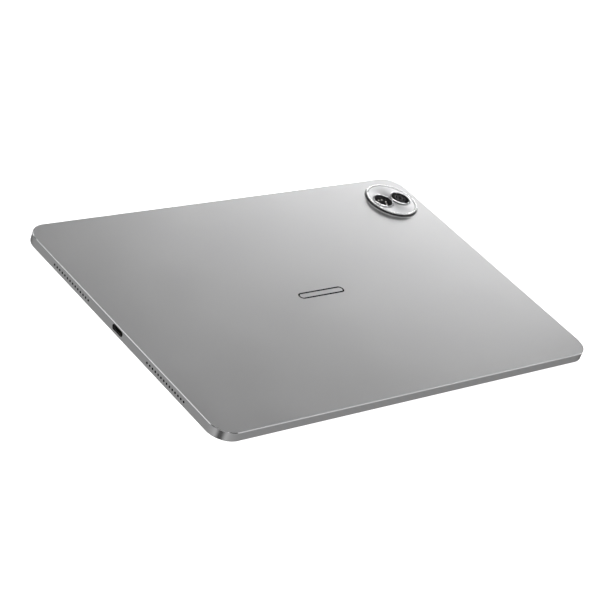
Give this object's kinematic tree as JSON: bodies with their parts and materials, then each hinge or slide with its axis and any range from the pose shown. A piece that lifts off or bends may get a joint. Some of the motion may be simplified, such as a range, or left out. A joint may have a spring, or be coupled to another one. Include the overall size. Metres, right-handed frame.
{
  "type": "tablet computer",
  "caption": "Slim aluminium tablet with a glass screen, round camera island, USB-C socket, drilled speaker rows and side buttons.",
  "frame": {"origin": "middle of the screen glass's outer face, which the tablet lies on", "axes": "+X along the long side towards the camera's end (the USB-C socket is at the -X end), +Y towards the long side nearest the camera, +Z out of the back"},
  "size_m": [0.2749, 0.1809, 0.0078],
  "materials": {
    "housing_aluminium": "fine bead-blasted and anodised, satin",
    "button_aluminium": "fine bead-blasted and anodised, satin",
    "polished_metal": "polished bright",
    "brushed_metal": "circular brushed, satin",
    "screen_glass": "chemically strengthened glass with a black print behind, glossy",
    "lens_glass": "coated cover glass over a black backing, glossy",
    "black_plastic": "matt moulded plastic",
    "seal_rubber": "black adhesive foam",
    "display_film": "polariser film, satin",
    "white_reflector": "white reflector film",
    "circuit_board": "solder mask, satin",
    "chip_epoxy": "moulded epoxy",
    "tinned_steel": "tinned sheet",
    "battery_pouch": "laminated pouch film",
    "flex_film": "polyimide film over copper",
    "graphite_sheet": "graphite sheet",
    "screw_steel": "plain",
    "socket_steel": "plain drawn sheet",
    "copper": "copper foil and windings",
    "speaker_mesh": "woven black dust mesh",
    "diaphragm_film": "moulded film cone"
  },
  "bodies": {
    "chassis": {"rear_housing": "housing_aluminium", "screen_glass": "screen_glass", "screen_seal": "seal_rubber", "display_cell": "display_film", "display_backlight": "white_reflector", "display_driver_board": "circuit_board", "display_flex": "flex_film", "front_camera": "black_plastic", "light_sensor": "chip_epoxy", "microphone": "chip_epoxy", "battery_left": "battery_pouch", "battery_right": "battery_pouch", "battery_board": "circuit_board", "main_board": "circuit_board", "processor_chip": "chip_epoxy", "storage_chip": "chip_epoxy", "power_chip": "chip_epoxy", "radio_module": "tinned_steel", "processor_shield": "tinned_steel", "power_shield": "tinned_steel", "heat_spreader": "graphite_sheet", "board_screw_1": "screw_steel", "board_screw_2": "screw_steel", "board_screw_3": "screw_steel", "board_screw_4": "screw_steel", "usb_board": "circuit_board", "usb_shell": "socket_steel", "usb_tongue": "black_plastic", "usb_board_screw_1": "screw_steel", "usb_board_screw_2": "screw_steel", "interconnect_flex": "flex_film", "camera_ring": "polished_metal", "camera_plate": "brushed_metal", "lens_rim_main": "polished_metal", "lens_rim_flash": "polished_metal", "lens_window_main": "lens_glass", "lens_window_flash": "lens_glass", "main_camera": "black_plastic", "flash_module": "chip_epoxy", "power_switch": "black_plastic", "volume_switch_board": "black_plastic", "antenna_left": "copper", "antenna_right": "copper", "pen_charging_coil": "copper", "speaker_mesh_left_near": "speaker_mesh", "speaker_box_left_near": "black_plastic", "speaker_mesh_left_far": "speaker_mesh", "speaker_box_left_far": "black_plastic", "speaker_mesh_right_near": "speaker_mesh", "speaker_box_right_near": "black_plastic", "speaker_mesh_right_far": "speaker_mesh", "speaker_box_right_far": "black_plastic"},
    "power_button": {"power_button": "button_aluminium"},
    "volume_rocker": {"volume_rocker": "button_aluminium"},
    "focus_barrel": {"focus_barrel": "black_plastic"},
    "diaphragm_left_near": {"speaker_diaphragm_left_near": "diaphragm_film"},
    "diaphragm_left_far": {"speaker_diaphragm_left_far": "diaphragm_film"},
    "diaphragm_right_near": {"speaker_diaphragm_right_near": "diaphragm_film"},
    "diaphragm_right_far": {"speaker_diaphragm_right_far": "diaphragm_film"}
  },
  "joints": [
    {"name": "power_button_press", "type": "slide", "parent": "chassis", "child": "power_button", "axis": [-1, 0, 0], "range_m": [0, 0.0003], "stiffness_N_per_m": 3000, "springref_m": -0.0003},
    {"name": "volume_rocker_tilt", "type": "hinge", "parent": "chassis", "child": "volume_rocker", "pos_m": [0.0963, 0.0881, 0.0029], "axis": [0, 0, 1], "range_deg": [-1.2, 1.2], "stiffness_Nm_per_rad": 0.4},
    {"name": "focus_lift", "type": "slide", "parent": "chassis", "child": "focus_barrel", "axis": [0, 0, 1], "range_m": [0, 0.0003], "stiffness_N_per_m": 60, "springref_m": -0.0002},
    {"name": "diaphragm_left_near_travel", "type": "slide", "parent": "chassis", "child": "diaphragm_left_near", "axis": [0, 0, 1], "range_m": [-0.0003, 0.0003], "stiffness_N_per_m": 300},
    {"name": "diaphragm_left_far_travel", "type": "slide", "parent": "chassis", "child": "diaphragm_left_far", "axis": [0, 0, 1], "range_m": [-0.0003, 0.0003], "stiffness_N_per_m": 300},
    {"name": "diaphragm_right_near_travel", "type": "slide", "parent": "chassis", "child": "diaphragm_right_near", "axis": [0, 0, 1], "range_m": [-0.0003, 0.0003], "stiffness_N_per_m": 300},
    {"name": "diaphragm_right_far_travel", "type": "slide", "parent": "chassis", "child": "diaphragm_right_far", "axis": [0, 0, 1], "range_m": [-0.0003, 0.0003], "stiffness_N_per_m": 300}
  ]
}
